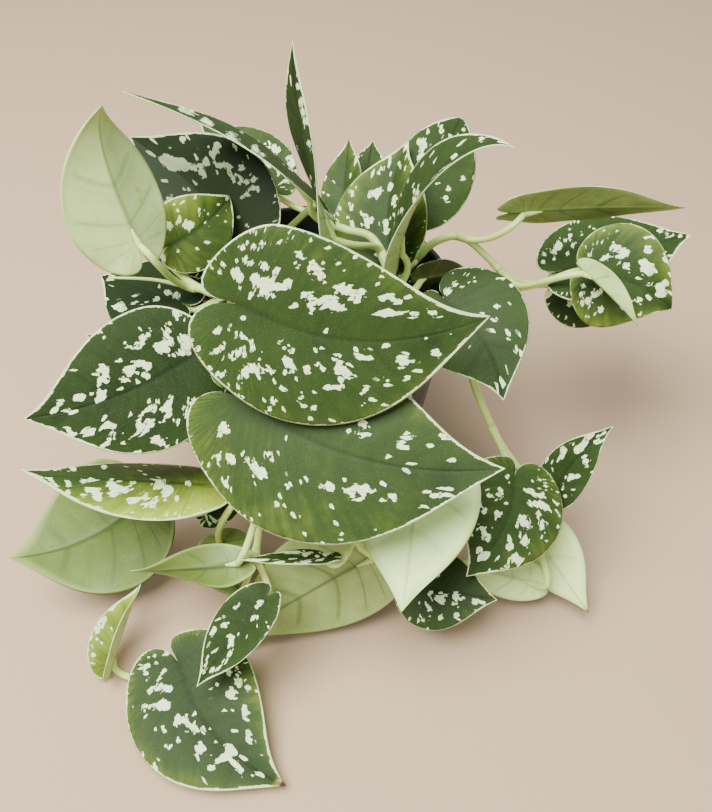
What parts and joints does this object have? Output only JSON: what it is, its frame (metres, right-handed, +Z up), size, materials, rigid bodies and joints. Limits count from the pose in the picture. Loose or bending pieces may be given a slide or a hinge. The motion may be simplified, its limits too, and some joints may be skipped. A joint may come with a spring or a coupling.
{
  "type": "potted trailing houseplant",
  "caption": "Potted satin pothos: heart-shaped, silver-splashed leaves on vines that arch over and trail below the rim of a round, tapered nursery pot of soil.",
  "frame": {"origin": "centre of the pot's underside, on the surface it stands on", "axes": "+Z up along the pot's axis, -Y towards the plant's front, +X to the right as seen from the front"},
  "size_m": [0.3022, 0.2536, 0.22],
  "materials": {
    "pot_plastic": "satin, dark green-black",
    "potting_soil": "rough, dark brown",
    "stem": "smooth, pale green",
    "leaf": "satin green with silver splashes, paler below",
    "young_leaf": "satin yellow-green with silver splashes"
  },
  "bodies": {
    "root": {"pot": "pot_plastic", "potting_soil": "potting_soil", "vine_crown": "stem", "vine_right_back": "stem", "vine_right_front": "stem", "vine_front": "stem", "vine_left_front": "stem", "vine_front_right": "stem", "vine_front_low": "stem", "vine_left_back": "stem", "vine_back": "stem", "vine_back_right": "stem", "leaf_top_heart": "leaf", "leaf_front_heart": "leaf", "leaf_left_heart": "leaf", "leaf_left_fold": "young_leaf", "leaf_left_pale": "leaf", "leaf_left_under": "leaf", "leaf_left_tip": "leaf", "leaf_floor_young": "young_leaf", "leaf_floor_heart": "leaf", "leaf_floor_narrow": "leaf", "leaf_front_curl": "leaf", "leaf_front_pale": "leaf", "leaf_front_edge": "leaf", "leaf_front_small": "leaf", "leaf_front_shade": "leaf", "leaf_right_pale": "leaf", "leaf_right_floor": "leaf", "leaf_right_under": "leaf", "leaf_right_spotted": "leaf", "leaf_right_low": "leaf", "leaf_right_up": "leaf", "leaf_right_dark": "leaf", "leaf_right_small": "leaf", "leaf_back_curl": "leaf", "leaf_back_bright": "leaf", "leaf_back_round": "leaf", "leaf_tall_edge": "leaf", "leaf_back_edge": "leaf", "leaf_back_grey": "leaf", "leaf_back_cup": "leaf", "leaf_back_slim": "leaf", "leaf_back_far": "leaf", "leaf_pale_upright": "leaf", "leaf_bright_young": "young_leaf", "leaf_left_shade": "leaf", "leaf_far_pale": "leaf", "leaf_far_dark": "leaf", "leaf_far_round": "leaf", "leaf_far_young": "leaf", "leaf_far_low": "leaf"}
  },
  "joints": []
}
